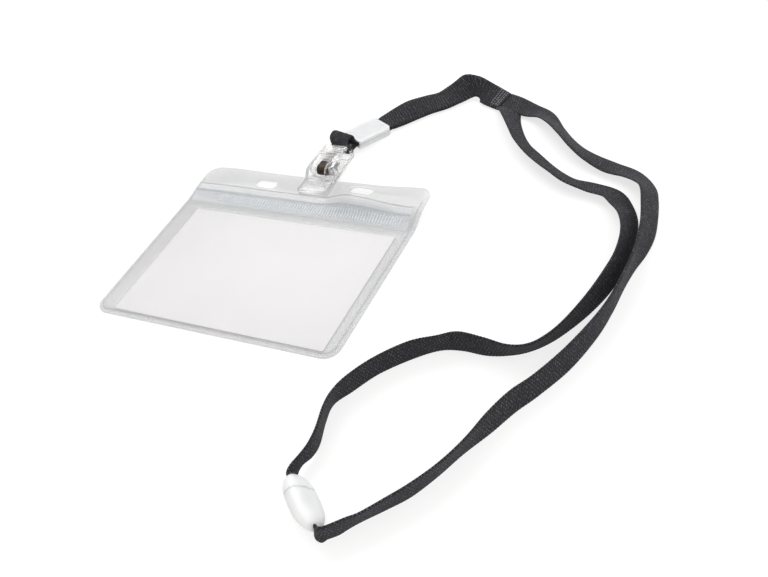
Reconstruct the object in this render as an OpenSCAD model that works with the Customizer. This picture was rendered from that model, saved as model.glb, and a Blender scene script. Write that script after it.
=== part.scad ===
// Lanyard badge holder: a zip-top vinyl pouch on a sprung clip, with a crimped strap,
// a sewn neck loop and a breakaway buckle. Millimetres. The pouch lies on the plane z = 0,
// +X runs along its width, +Y runs from the pouch towards the clip, +Z is up.

/* [Pouch] */
// Width of the pouch over its welded edges
pouch_w = 111; // [90:1:130]
// Distance from the frame's origin down to the pouch's bottom edge
pouch_bottom = 48; // [38:1:60]
// Distance from the frame's origin up to the header's top edge
pouch_top = 44; // [42:0.5:46]
// Radius of the pouch's corners
corner_r = 6; // [3:0.5:10]
// Thickness of each vinyl film
film_t = 0.4; // [0.3:0.05:0.5]
// Width of the welded edge
weld_w = 2.4; // [1.5:0.1:4]
// Height of the card pocket between the two films
pocket_gap = 0.6; // [0.5:0.05:1]
// Distance from the header's top edge to the front film's lip
header_h = 12.5; // [12.4:0.1:13]
// How far the header is raised, to let the lower jaw under it
header_lift = 1.5; // [1.5:0.1:2.5]
// Length of each header slot, end to end
slot_len = 10.3; // [7:0.1:12]
// Width of each header slot
slot_w = 4.8; // [4.2:0.1:5]
// Distance between the two outer header slots
slot_pitch = 48; // [36:1:60]
// Distance from the pouch's middle to the middle slot, which carries the clip
slot_mid = 2; // [-4:0.5:4]
// Distance from the header's top edge to the middle of the slots
slot_edge = 7.4; // [6:0.1:8]

/* [Zip] */
// Width of the zip's two flanges
zip_flange_w = 8.5; // [8:0.1:9]
// Thickness of each flange
zip_flange_t = 0.3; // [0.2:0.05:0.4]
// Height of the two groove walls above their flange
groove_h = 0.8; // [0.6:0.05:1]
// Width inside the groove
groove_w = 1.3; // [1.1:0.1:1.6]
// Width of the rib that presses into the groove
rib_w = 0.8; // [0.5:0.05:0.9]
// Distance from the rib to the upper edge of the zip's flanges
rib_edge = 3.5; // [2.5:0.1:5]
// Length over which the front film rises from the pocket to the zip
rise_len = 4; // [3:0.1:5]

/* [Card] */
// Distance from each side of the white insert card to the pouch's edge
card_side = 6.5; // [4:0.5:14]
// Distance from the card's top edge up to the zip's flanges
card_top = 5.8; // [5.5:0.1:16]
// Thickness of the card
card_t = 0.4; // [0.2:0.05:0.45]

/* [Clip] */
// Width of the clip over its two jaws
clip_w = 13.4; // [12.6:0.1:16]
// How far the jaws reach in over the header's top edge, with their clearance
jaw_depth = 10; // [9:0.1:10.5]
// Distance from the header's top edge to the pivot pin
pivot_out = 3.5; // [3.4:0.1:5]
// Distance from the pivot pin to the tips of the spring's legs
spring_len = 8.5; // [7:0.1:9]
// Thickness of the lower jaw and its plate
jaw_t = 1.45; // [1.2:0.05:1.45]
// Thickness of the upper lever
lever_t = 1.35; // [1:0.05:1.8]
// Radius of the pivot pin
pin_r = 0.9; // [0.7:0.05:1]
// Thickness of the spring's steel strip
spring_t = 0.4; // [0.3:0.05:0.45]
// Width of the spring's steel strip
spring_w = 5; // [3:0.5:7]
// Radius of the bar that carries the strap
bar_r = 1.3; // [1:0.05:1.4]
// Distance from the pivot pin to the bar that carries the strap
arm_len = 17.3; // [17:0.1:19]
// Distance from the pivot pin to the end of the lever's thumb tail
tail_len = 13.9; // [12:0.1:14]
// Height of the lever's arch over the pivot pin, on its underside
arch_h = 2.7; // [2.6:0.05:3.2]
// Distance from the pivot pin to the start of the lever's arch
arch_run = 4; // [3.8:0.1:4.4]
// Radius of the ears round the pivot pin
ear_r = 2.3; // [2:0.05:2.4]
// Thickness of the ears
ear_t = 1.1; // [0.8:0.05:1.3]
// Length of the window over the spring
window_len = 7.5; // [6:0.1:8]
// Thickness of the two rails that carry the strap bar
rail_t = 1.4; // [1:0.05:1.5]

/* [Strap] */
// Width of the flat strap
strap_w = 10; // [8:0.1:10.2]
// Thickness of the flat strap
strap_t = 1; // [0.7:0.05:1]
// Width of the strap where it is gathered round the clip's bar
loop_w = 9.2; // [7:0.1:9.4]
// Width of the strap where it is gathered round the buckle's bars
end_w = 6; // [5:0.1:7.8]

/* [Crimp] */
// Length of the crimp sleeve
crimp_len = 17; // [14:0.5:17.5]
// Width of the crimp sleeve
crimp_w = 12.4; // [12:0.1:14]
// Thickness of the crimp sleeve
crimp_t = 3.8; // [3.8:0.1:4.4]

/* [Breakaway] */
// Length of the closed buckle
buckle_len = 22; // [21:0.5:24]
// Width of the buckle
buckle_w = 12; // [11.6:0.1:14]
// Thickness of the buckle
buckle_t = 6.6; // [6.4:0.1:8]
// Length of the tongue that holds the two halves together
tongue_len = 7; // [5:0.5:8]
// Width of the tongue
tongue_w = 5; // [4:0.1:6]
// Thickness of the tongue
tongue_t = 2.6; // [2:0.1:3]
// Radius of the buckle's two strap bars
buckle_bar_r = 1.1; // [0.9:0.05:1.2]

/* [Hidden] */
$fn = 48;

clear = 0.3;        // between pieces that move apart
touch = 0.05;       // between faces that grip or slide on each other
run_fit = 0.05;     // radial play of the pivot pin in its bores
over = 2;           // how far a cutting tool runs past what it cuts

vinyl = [0.86, 0.87, 0.88, 0.55];
zip_grey = [0.78, 0.8, 0.85];
card_white = [0.95, 0.95, 0.94];
clear_plastic = [0.9, 0.92, 0.93, 0.5];
spring_brown = [0.14, 0.1, 0.08];
milky = [0.95, 0.95, 0.94];
strap_black = [0.13, 0.13, 0.14];
thread_grey = [0.45, 0.45, 0.46];

// ---- The pouch: layers that all follow one side profile -------------------------------

lip_y = pouch_top - header_h;
ramp_start = 21;
ramp_end = pouch_top - jaw_depth;
zip_y0 = lip_y - zip_flange_w - 0.5;
zip_y1 = zip_y0 + zip_flange_w;
rib_y = zip_y1 - rib_edge;
profile_step = 2;

zip_stack = 2 * zip_flange_t + groove_h + clear + 3 * touch;
// Height that clears all the pouch's layers
cut_h = header_lift + 2 * film_t + zip_stack + 2 * over;
function smooth(s) = s * s * (3 - 2 * s);
function share(y, a, b) = min(1, max(0, (y - a) / (b - a)));

function ramp(y) = header_lift * smooth(share(y, ramp_start, ramp_end));
// Height of the back film's underside over the table, straight between even steps, so that
// each layer lies on the one below it
function base(y) =
    let (low = floor(y / profile_step) * profile_step, s = (y - low) / profile_step)
    ramp(low) * (1 - s) + ramp(low + profile_step) * s;
// Height of the front film's underside over the back film's upper side
function front_gap(y) =
    pocket_gap + (zip_stack - pocket_gap) * smooth(share(y, zip_y0 - rise_len, zip_y0));

function stations(y0, y1) =
    concat([y0], [for (k = [floor(y0 / profile_step) + 1:ceil(y1 / profile_step) - 1])
                  k * profile_step], [y1]);
// A closed side outline between two heights over the profile
function strip(ys, low, high) =
    concat([for (y = ys) [y, base(y) + low]],
           [for (i = [len(ys) - 1:-1:0]) [ys[i], base(ys[i]) + high]]);

// Pulls a side outline, drawn as [y, z], along the X axis
module along_x(width) {
    rotate([90, 0, 90]) linear_extrude(width, center = true) children();
}

module layer(y0, y1, low, high, width) {
    along_x(width) polygon(strip(stations(y0, y1), low, high));
}

// A pouch outline with round corners, less an even margin
module outline(margin) {
    r = corner_r - margin / 2;
    half_w = pouch_w / 2 - margin;
    y0 = -pouch_bottom + margin;
    y1 = pouch_top - margin;
    translate([-half_w + r, y0]) square([2 * (half_w - r), y1 - y0]);
    translate([-half_w, y0 + r]) square([2 * half_w, y1 - y0 - 2 * r]);
    for (x = [-half_w + r, half_w - r], y = [y0 + r, y1 - r]) translate([x, y]) circle(r);
}

module pouch_block() {
    translate([0, 0, -over]) linear_extrude(cut_h) outline(0);
}

module slot_tool() {
    half = (slot_len - slot_w) / 2;
    translate([-half, -slot_w / 2, -over]) cube([2 * half, slot_w, cut_h]);
    for (x = [-half, half]) translate([x, 0, -over]) cylinder(d = slot_w, h = cut_h);
}

module back_film() {
    color(vinyl) difference() {
        intersection() {
            layer(-pouch_bottom, pouch_top, 0, film_t, pouch_w);
            pouch_block();
        }
        for (x = [-slot_pitch / 2, 0, slot_pitch / 2])
            translate([slot_mid + x, pouch_top - slot_edge, 0]) slot_tool();
    }
}

// The front film's own side outline, between two heights over the front film's underside
module front_layer(y0, y1, from_back, thick) {
    ys = stations(y0, y1);
    low = [for (y = ys) [y, base(y) + film_t + (from_back ? 0 : front_gap(y))]];
    high = [for (i = [len(ys) - 1:-1:0])
            [ys[i], base(ys[i]) + film_t + front_gap(ys[i]) + thick]];
    along_x(pouch_w) polygon(concat(low, high));
}

module front_film() {
    color(vinyl) intersection() {
        union() {
            front_layer(-pouch_bottom, lip_y, false, film_t);
            difference() {
                front_layer(-pouch_bottom, lip_y, true, film_t / 2);
                translate([weld_w - pouch_w / 2, weld_w - pouch_bottom, -over])
                    cube([pouch_w - 2 * weld_w, pouch_bottom + pouch_top, cut_h]);
            }
        }
        pouch_block();
    }
}

zip_len = pouch_w - 2 * weld_w - 2 * clear;

module zip_groove_strip() {
    color(zip_grey) {
        flange_top = film_t + zip_flange_t;
        layer(zip_y0, zip_y1, film_t, flange_top, zip_len);
        for (y = [rib_y - groove_w / 2 - 0.5, rib_y + groove_w / 2])
            layer(y, y + 0.5, flange_top - 0.1, flange_top + groove_h, zip_len);
    }
}

module zip_rib_strip() {
    color(zip_grey) {
        top = film_t + zip_stack - touch;
        layer(zip_y0, zip_y1, top - zip_flange_t, top, zip_len);
        layer(rib_y - rib_w / 2, rib_y + rib_w / 2, film_t + zip_flange_t + 2 * touch,
              top - zip_flange_t + 0.1, zip_len);
    }
}

card_w = pouch_w - 2 * card_side;
card_bottom = weld_w + clear - pouch_bottom;
card_h = zip_y0 - card_top - card_bottom;

module insert_card() {
    lift = film_t + (pocket_gap - card_t) / 2;
    color(card_white) translate([-card_w / 2, card_bottom, lift]) cube([card_w, card_h, card_t]);
}

// ---- The clip: two clear arms on a pin, with a bent steel spring ---------------------

clip_x = slot_mid;
jaw_y = ramp_end + clear;
pivot_y = pouch_top + pivot_out;
pivot_z = header_lift + 2.8;
bar_y = pivot_y + arm_len;
bar_z = bar_r + strap_t + clear + 1;
upper_face = header_lift + film_t + touch;
bore_r = pin_r + run_fit;
barrel_r = 2.4;
tail_y = pivot_y + tail_len;

module ear_plates(outer) {
    for (side = [-1, 1])
        translate([side * (outer - ear_t / 2), 0, 0]) along_x(ear_t) children();
}

module pivot_bore(length) {
    translate([0, pivot_y, pivot_z]) rotate([0, 90, 0]) cylinder(r = bore_r, h = length, center = true);
}

module clip_lower_arm() {
    plate_end = bar_y - 2 * (bar_r + strap_t) - 3 * clear;
    rail_x = clip_w / 2 - rail_t / 2;
    color(clear_plastic) translate([clip_x, 0, 0]) difference() {
        union() {
            translate([-clip_w / 2, jaw_y, 0]) cube([clip_w, plate_end - jaw_y, jaw_t]);
            ear_plates(clip_w / 2 - ear_t - clear) {
                translate([pivot_y, pivot_z]) circle(ear_r);
                translate([pivot_y - ear_r, jaw_t - 0.2]) square([2 * ear_r, pivot_z - jaw_t + 0.2]);
            }
            for (side = [-1, 1]) translate([side * rail_x, 0, 0]) along_x(rail_t) {
                translate([bar_y, bar_z]) circle(bar_r + 0.7);
                polygon([[plate_end - 2, 0], [bar_y - 1.5, 0], [bar_y + 0.8, bar_z - bar_r - 0.5],
                         [bar_y - 1.6, bar_z + 1.2], [bar_y - 2.4, jaw_t],
                         [plate_end - 2, jaw_t]]);
            }
            translate([0, bar_y, bar_z]) rotate([0, 90, 0])
                cylinder(r = bar_r, h = clip_w - rail_t, center = true);
        }
        pivot_bore(clip_w);
    }
}

// Height of the thumb tail's underside over the pivot
tail_h = arch_h - 0.15;

// The lever: a jaw, an arch over the spring and a thumb tail
module lever_outline() {
    p = [pivot_y, pivot_z];
    top_h = arch_h + lever_t;
    under = [[jaw_y, upper_face], [p.x - arch_run, upper_face], p + [-0.7 * arch_run, arch_h / 3],
             p + [-0.3 * arch_run, arch_h], p + [0.4 * arch_run, arch_h],
             [tail_y, p.y + tail_h]];
    upper = [[tail_y, p.y + tail_h + lever_t], p + [0.4 * arch_run, top_h],
             p + [-0.55 * arch_run, top_h], p + [-1.05 * arch_run, arch_h / 3 + lever_t],
             [p.x - 1.5 * arch_run, upper_face + lever_t + 0.2], [jaw_y, upper_face + lever_t]];
    polygon(concat(under, upper));
}

module clip_upper_arm() {
    window_y0 = pivot_y - arch_run - 1;
    window_w = spring_w + 0.2;
    grip_ribs = 5;
    color(clear_plastic) translate([clip_x, 0, 0]) difference() {
        union() {
            along_x(clip_w) lever_outline();
            ear_plates(clip_w / 2) {
                translate([pivot_y, pivot_z]) circle(ear_r);
                translate([pivot_y - ear_r, pivot_z]) square([2 * ear_r, arch_h + 0.5]);
            }
            for (i = [0:grip_ribs - 1])
                along_x(clip_w - 2) translate([tail_y - 1.2 - 1.5 * i, pivot_z + tail_h + lever_t])
                    circle(0.45);
        }
        translate([-window_w / 2, window_y0, pivot_z])
            cube([window_w, window_len, arch_h + lever_t + over]);
        pivot_bore(clip_w + over);
    }
}

module clip_pin() {
    color("silver") translate([clip_x, pivot_y, pivot_z]) rotate([0, 90, 0])
        cylinder(r = pin_r, h = clip_w - 0.4, center = true);
}

module clip_spring() {
    leg_y = pivot_y + spring_len;
    mid_r = barrel_r - spring_t;
    color(spring_brown) translate([clip_x, 0, 0]) along_x(spring_w) difference() {
        union() {
            translate([pivot_y, pivot_z]) circle(barrel_r);
            polygon([[pivot_y, pivot_z - barrel_r], [leg_y, jaw_t + 0.1],
                     [leg_y, jaw_t + 0.1 + spring_t], [pivot_y, pivot_z - mid_r]]);
            polygon([[pivot_y, pivot_z + mid_r], [leg_y, pivot_z + 2.3 - spring_t],
                     [leg_y, pivot_z + 2.3], [pivot_y, pivot_z + barrel_r]]);
        }
        translate([pivot_y, pivot_z]) circle(mid_r);
    }
}

// ---- Ribbons: a flat eight-sided section carried along chosen points ------------------
// A station is [x, y, z, roll, width]. Roll is the angle by which the ribbon's left edge
// stands higher than its right edge, seen along the way it runs.

function unit(v) = v / norm(v);
function spot(s) = [s[0], s[1], s[2]];
function heading(route, i) =
    unit(spot(route[min(i + 1, len(route) - 1)]) - spot(route[max(i - 1, 0)]));
function level_left(t) = unit([-t.y, t.x, 0]);
function across_roll(route, i) =
    let (t = heading(route, i), left = level_left(t), up = cross(t, left))
    left * cos(route[i][3]) + up * sin(route[i][3]);

// Eight corners of a flat section with chamfered edges
function section(c, across, up, w, t) =
    [for (k = [[-1, -0.25, 0], [-1, 0.25, 0], [-1, 0.5, 1], [1, 0.5, -1],
               [1, 0.25, 0], [1, -0.25, 0], [1, -0.5, -1], [-1, -0.5, 1]])
        c + across * (k[0] * w / 2 + k[2] * t / 2) + up * (k[1] * t)];

function flat_list(rings) = [for (ring = rings) for (p = ring) p];

module skin(rings) {
    n = len(rings);
    sides = 8;
    walls = [for (i = [0:n - 2]) for (j = [0:sides - 1])
             let (a = i * sides + j, b = i * sides + (j + 1) % sides)
             each [[a, a + sides, b], [b, a + sides, b + sides]]];
    lids = [for (j = [1:sides - 2])
            each [[0, j, j + 1],
                  [(n - 1) * sides, (n - 1) * sides + j + 1, (n - 1) * sides + j]]];
    polyhedron(points = flat_list(rings), faces = concat(walls, lids));
}

module ribbon(route, thick) {
    skin([for (i = [0:len(route) - 1])
          let (t = heading(route, i), a = across_roll(route, i))
          section(spot(route[i]), a, cross(t, a), route[i][4], thick)]);
}

stem_t = 2 * strap_t + 0.1;
w = strap_w;
g = end_w;

// The crimp's place: its axis climbs from the strap to the clip
crimp_yaw = 62;
crimp_pitch = 6;
crimp_near = [clip_x + 2, bar_y + 5];
crimp_flat = [cos(crimp_yaw), sin(crimp_yaw)];
crimp_out = crimp_near + crimp_len * crimp_flat;
crimp_z = crimp_len / 2 * sin(crimp_pitch) + crimp_t / 2 * cos(crimp_pitch);
crimp_mid = [crimp_near.x + crimp_len / 2 * crimp_flat.x,
             crimp_near.y + crimp_len / 2 * crimp_flat.y, crimp_z];

stem_route = [
    [crimp_mid.x, crimp_mid.y, crimp_mid.z, 0, w],
    [crimp_out.x, crimp_out.y, 1.9, 0, w], [13.3, 87.2, 2, 6, w],
    [17.3, 91, 2.7, 18, w], [22, 95.8, 3.3, 26, w],
    [27, 101.5, 2.7, 18, w], [32.5, 106, 2.4, 14, w], [37, 110.5, 3.3, 26, w],
    [42, 114, 4.8, 54, w], [47, 113.5, 5, 60, w], [53, 111.5, 3.6, 30, w],
    [61, 109, 1.9, 8, w]];

leg_a_route = [
    [61.8, 108.9, 2.5, 6, w], [67, 107.5, 2.2, 2, w], [74, 105, 1.4, -4, w],
    [81.5, 101.5, 2.1, -18, w], [89, 93.5, 3.7, -40, w], [96.5, 85.5, 4, -45, w],
    [103, 79.5, 3.6, -38, w], [110, 75, 2.8, -26, w], [119, 71, 2, -16, w],
    [128, 67.5, 2.5, -22, w], [135, 61.5, 3.5, -37, w], [138.5, 55, 4.3, -50, w],
    [141, 46, 4.5, -55, w], [143, 36, 4.7, -62, w], [143.5, 27, 5, -74, w],
    [143, 18, 5.1, -90, w], [142.3, 8, 5.1, -96, w], [141.5, -4, 5.1, -94, w],
    [139.5, -16, 5.1, -89, w], [135, -31, 5.1, -85, w], [129, -44, 5.1, -87, w],
    [124, -52.5, 5.1, -86, w], [120, -62, 5.1, -90, w], [115.7, -73, 5.1, -105, w],
    [111.5, -83, 5.1, -107, w], [106.5, -92, 5.1, -105, w], [101.5, -98.5, 5.1, -108, w],
    [96, -105, 5, -112, w], [93, -108.3, 5.1, -108, w], [90.4, -111.6, 5.1, -104, w],
    [88.5, -114, 5.1, -108, 9.4], [87.1, -115.1, 5.2, -118, 8],
    [86.05, -114.4, 5.4, -128, g]];

leg_b_route = [
    [61.8, 108.5, 1.4, 6, w], [65.3, 103, 2.4, -16, w], [69, 95.5, 3.8, -40, w],
    [74.5, 86.5, 4.2, -48, w], [80, 79, 4.1, -45, w], [86.5, 73, 3.7, -39, w],
    [93, 67.5, 3.7, -39, w], [100, 62.5, 3.7, -39, w], [107, 58.8, 3.2, -32, w],
    [115.5, 57.3, 2.4, -21, w], [124, 55, 2.4, -22, w], [129.5, 49, 2.9, -28, w],
    [134.5, 40.5, 4, -45, w], [137.5, 29, 5, -66, w], [138.2, 17, 5.1, -76, w],
    [137, 6, 5.1, -79, w], [134, -6, 5.1, -90, w], [129.5, -18, 5.1, -104, w],
    [125.5, -25, 5, -113, w], [121, -29.5, 4.8, -118, w], [115.5, -32, 5, -112, w],
    [107, -32.6, 5.1, -95, w], [98, -32.4, 5.1, -93, w], [91, -35, 5.1, -103, w],
    [83, -40.3, 5.1, -97, w], [74.5, -49.5, 5.1, -98, w], [69, -59, 5.1, -98, w],
    [66, -66, 5, -106, w], [66.5, -73, 5.1, -102, w], [68.7, -82, 5.1, -99, w],
    [68.7, -88, 5, -98, 9.4], [67.6, -92.5, 5, -102, 8], [67.5, -96, 5.1, -92, 6.8],
    [68, -97.85, 5.1, -66, g]];

module stem_strap() {
    color(strap_black) ribbon(stem_route, stem_t);
}

module leg_a_strap() {
    color(strap_black) ribbon(leg_a_route, strap_t);
}

module leg_b_strap() {
    color(strap_black) ribbon(leg_b_route, strap_t);
}

// The strap's turn round the clip's bar: one ply in, round the bar and one ply out
turn_steps = 10;
turn_r = bar_r + clear + strap_t / 2;
ply = strap_t / 2 + 0.05;
bar_mid = [clip_x, bar_y, bar_z];
crimp_dir = [cos(crimp_yaw) * cos(crimp_pitch), sin(crimp_yaw) * cos(crimp_pitch),
             -sin(crimp_pitch)];
crimp_side = [sin(crimp_yaw), -cos(crimp_yaw), 0];
crimp_up = cross(crimp_side, crimp_dir);
crimp_in = crimp_mid - crimp_dir * (crimp_len / 2);

function turn_ring(i) =
    let (a = 65 + 230 * i / turn_steps, out = [0, cos(a), sin(a)])
    section(bar_mid + out * turn_r, [1, 0, 0], out, loop_w, strap_t);
function ply_ring(along, up_by, flip) =
    section(crimp_mid + crimp_dir * along + crimp_up * up_by, crimp_side,
            crimp_up * flip, loop_w, strap_t);

module clip_strap_loop() {
    color(strap_black) skin(concat(
        [ply_ring(0, ply, 1), ply_ring(-crimp_len / 2, ply, 1)],
        [for (i = [0:turn_steps]) turn_ring(i)],
        [ply_ring(-crimp_len / 2, -ply, -1), ply_ring(0, -ply, -1)]));
}

module joint_stitching() {
    end = stem_route[len(stem_route) - 1];
    t = heading(stem_route, len(stem_route) - 1);
    rows = 4;
    color(thread_grey) translate([end[0], end[1], end[2]])
        rotate([0, 0, atan2(t.y, t.x)]) rotate([end[3], 0, 0])
            for (i = [0:rows - 1], face = [-1, 1])
                translate([-1.2 - 1.1 * i, 0, face * stem_t / 2]) rotate([90, 0, 0])
                    cylinder(r = 0.25, h = strap_w - 2.4, center = true);
}

// ---- The crimp: two shells that close on the strap ------------------------------------

module at_crimp() {
    translate(crimp_mid) rotate([0, 0, crimp_yaw]) rotate([0, crimp_pitch, 0]) children();
}

module crimp_shell() {
    bore_h = stem_t / 2 + touch;
    corner = 1.5;
    half_l = crimp_len / 2 - corner;
    half_w = crimp_w / 2 - corner;
    difference() {
        linear_extrude(crimp_t / 2) union() {
            square([crimp_len, 2 * half_w], center = true);
            square([2 * half_l, crimp_w], center = true);
            for (x = [-half_l, half_l], y = [-half_w, half_w]) translate([x, y]) circle(corner);
        }
        translate([-crimp_len, -strap_w / 2 - clear, -over])
            cube([2 * crimp_len, strap_w + 2 * clear, over + bore_h]);
    }
}

module crimp_top_shell() {
    color(milky) at_crimp() crimp_shell();
}

module crimp_bottom_shell() {
    color(milky) at_crimp() mirror([0, 0, 1]) crimp_shell();
}

// ---- The breakaway buckle: an oval body parted across, held by a tongue ---------------

buckle_yaw = -42.5;
buckle_roll = -52;
buckle_mid = [76.8, -105.9];
buckle_r = buckle_t / 2;
buckle_z = (buckle_w / 2 - buckle_r) * sin(-buckle_roll) + buckle_r + 0.02;
seam_x = -4.3;
taper_w = 3.4;
taper_t = 3;
bar_in = 2;
bar_x = buckle_len / 2 - bar_in;
window_in = bar_in + buckle_bar_r + clear + strap_t + 0.5;

module at_buckle() {
    translate([buckle_mid.x, buckle_mid.y, buckle_z]) rotate([0, 0, buckle_yaw])
        rotate([buckle_roll, 0, 0]) children();
}

// A barrel outline: full width in the middle, narrower at its ends
module barrel(length, width, end_width) {
    sag = (width - end_width) / 2;
    r = (length * length / 4 + sag * sag) / (2 * sag);
    intersection() {
        square([length, 2 * width], center = true);
        translate([0, width / 2 - r]) circle(r, $fn = 180);
        translate([0, r - width / 2]) circle(r, $fn = 180);
    }
}

module oval_body() {
    intersection() {
        rotate([90, 0, 90]) linear_extrude(buckle_len, center = true) union() {
            square([buckle_w - buckle_t, buckle_t], center = true);
            for (y = [-1, 1]) translate([y * (buckle_w / 2 - buckle_r), 0]) circle(buckle_r);
        }
        linear_extrude(2 * buckle_t, center = true)
            barrel(buckle_len, buckle_w + clear, buckle_w - taper_w);
        rotate([90, 0, 0]) linear_extrude(2 * buckle_w, center = true)
            barrel(buckle_len, buckle_t + clear, buckle_t - taper_t);
    }
}

module strap_window(end) {
    width = end_w + 2 * clear;
    translate([end > 0 ? buckle_len / 2 - window_in : -buckle_len / 2 - over, -width / 2, -buckle_t])
        cube([window_in + over, width, 2 * buckle_t]);
}

module buckle_bar(end) {
    translate([end * bar_x, 0, 0]) rotate([90, 0, 0])
        cylinder(r = buckle_bar_r, h = end_w + 2 * clear + 0.6, center = true);
}

module tongue(grow, length) {
    translate([seam_x - 0.5, -tongue_w / 2 - grow, -tongue_t / 2 - grow])
        cube([length + 0.5, tongue_w + 2 * grow, tongue_t + 2 * grow]);
}

module breakaway_plug() {
    color(milky) at_buckle() union() {
        difference() {
            intersection() {
                oval_body();
                translate([-buckle_len, -buckle_w, -buckle_t])
                    cube([buckle_len + seam_x, 2 * buckle_w, 2 * buckle_t]);
            }
            strap_window(-1);
        }
        buckle_bar(-1);
        tongue(0, tongue_len);
    }
}

module breakaway_socket() {
    color(milky) at_buckle() union() {
        difference() {
            intersection() {
                oval_body();
                translate([seam_x + touch, -buckle_w, -buckle_t])
                    cube([buckle_len, 2 * buckle_w, 2 * buckle_t]);
            }
            strap_window(1);
            tongue(2 * touch, tongue_len + clear);
        }
        buckle_bar(1);
    }
}

// The strap's end turned round a buckle bar, with its short sewn neck
module end_loop(end) {
    inner = buckle_bar_r + 0.2;
    outer = inner + strap_t;
    neck = 2.9;
    translate([end * bar_x, 0, 0]) rotate([90, 0, 0]) difference() {
        union() {
            cylinder(r = outer, h = end_w, center = true);
            linear_extrude(end_w, center = true)
                polygon([[0, outer - touch], [end * neck, strap_t], [end * neck, -strap_t],
                         [0, touch - outer]]);
        }
        cylinder(r = inner, h = 2 * end_w, center = true);
    }
}

module leg_a_end_loop() {
    color(strap_black) at_buckle() end_loop(1);
}

module leg_b_end_loop() {
    color(strap_black) at_buckle() end_loop(-1);
}

back_film();
front_film();
zip_groove_strip();
zip_rib_strip();
insert_card();
clip_lower_arm();
clip_upper_arm();
clip_pin();
clip_spring();
crimp_top_shell();
crimp_bottom_shell();
clip_strap_loop();
stem_strap();
leg_a_strap();
leg_b_strap();
joint_stitching();
leg_a_end_loop();
leg_b_end_loop();
breakaway_plug();
breakaway_socket();
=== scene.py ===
"""Looks of a lanyard badge holder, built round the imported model. Metres, +Z up.

Shapes are drawn in millimetres and brought to metres where their mesh is made.
"""

import math

import bmesh
import bpy
import numpy as np
from mathutils import Matrix, Quaternion, Vector


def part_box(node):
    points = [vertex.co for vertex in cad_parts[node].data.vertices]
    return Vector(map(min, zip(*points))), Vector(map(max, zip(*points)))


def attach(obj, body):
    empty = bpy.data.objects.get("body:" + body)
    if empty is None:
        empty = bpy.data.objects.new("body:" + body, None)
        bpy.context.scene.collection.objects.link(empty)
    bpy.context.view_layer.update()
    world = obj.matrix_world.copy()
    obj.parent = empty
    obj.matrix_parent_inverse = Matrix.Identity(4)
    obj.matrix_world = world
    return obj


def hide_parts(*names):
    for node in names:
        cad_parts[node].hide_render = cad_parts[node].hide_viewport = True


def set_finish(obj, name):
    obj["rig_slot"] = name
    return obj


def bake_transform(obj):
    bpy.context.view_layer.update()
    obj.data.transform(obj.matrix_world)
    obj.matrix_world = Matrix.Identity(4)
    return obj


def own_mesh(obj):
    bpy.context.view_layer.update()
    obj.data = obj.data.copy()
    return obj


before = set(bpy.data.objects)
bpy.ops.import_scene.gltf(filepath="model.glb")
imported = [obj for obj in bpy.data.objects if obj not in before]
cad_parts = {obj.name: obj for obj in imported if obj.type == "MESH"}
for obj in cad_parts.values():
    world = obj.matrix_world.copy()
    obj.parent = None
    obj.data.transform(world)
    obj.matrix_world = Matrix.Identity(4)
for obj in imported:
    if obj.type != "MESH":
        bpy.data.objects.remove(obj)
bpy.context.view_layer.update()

MM = 0.001

# ---- Camera ---------------------------------------------------------------------------

CAMERA_AT = (0.2227, -0.2325, 0.2459)
LOOK_AT = (0.0572, -0.0101, 0.0)
CAMERA_ROLL = math.radians(-16.55)
LENS_MM = 46.9


def added(name, data):
    """A new object in the scene, from its mesh, lamp or camera."""
    obj = bpy.data.objects.new(name, data)
    bpy.context.scene.collection.objects.link(obj)
    return obj


def make_camera():
    data = bpy.data.cameras.new("camera")
    data.lens = LENS_MM
    data.sensor_width = 36
    data.clip_start = 0.01
    data.clip_end = 20
    camera = added("camera", data)
    camera.location = CAMERA_AT
    look = Vector(LOOK_AT) - Vector(CAMERA_AT)
    camera.rotation_mode = "QUATERNION"
    camera.rotation_quaternion = look.to_track_quat("-Z", "Y") @ Quaternion((0, 0, 1), CAMERA_ROLL)
    bpy.context.scene.camera = camera


# ---- Materials ------------------------------------------------------------------------


def surface(name, color, roughness, **sockets):
    """A principled material and its parts. sockets are the shader's own, by plain name."""
    mat = bpy.data.materials.new(name)
    mat.use_nodes = True
    nodes = mat.node_tree.nodes
    links = mat.node_tree.links
    shader = nodes["Principled BSDF"]
    shader.inputs["Base Color"].default_value = (*color, 1)
    shader.inputs["Roughness"].default_value = roughness
    for key, value in sockets.items():
        shader.inputs[key.replace("_", " ").title().replace("Ior", "IOR")].default_value = value
    return mat, nodes, links, shader


def noise(nodes, links, scale, detail, space="Object"):
    where = nodes.new("ShaderNodeTexCoord")
    tex = nodes.new("ShaderNodeTexNoise")
    tex.inputs["Scale"].default_value = scale
    tex.inputs["Detail"].default_value = detail
    links.new(where.outputs[space], tex.inputs["Vector"])
    return tex.outputs["Fac"]


def ramp(nodes, links, fac, stops):
    node = nodes.new("ShaderNodeValToRGB")
    node.color_ramp.elements[0].position = stops[0][0]
    node.color_ramp.elements[0].color = (*stops[0][1], 1)
    node.color_ramp.elements[1].position = stops[-1][0]
    node.color_ramp.elements[1].color = (*stops[-1][1], 1)
    for at, color in stops[1:-1]:
        node.color_ramp.elements.new(at).color = (*color, 1)
    links.new(fac, node.inputs["Fac"])
    return node.outputs["Color"]


def bump(nodes, links, shader, height, strength, distance):
    node = nodes.new("ShaderNodeBump")
    node.inputs["Strength"].default_value = strength
    node.inputs["Distance"].default_value = distance
    links.new(height, node.inputs["Height"])
    links.new(node.outputs["Normal"], shader.inputs["Normal"])


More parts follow.
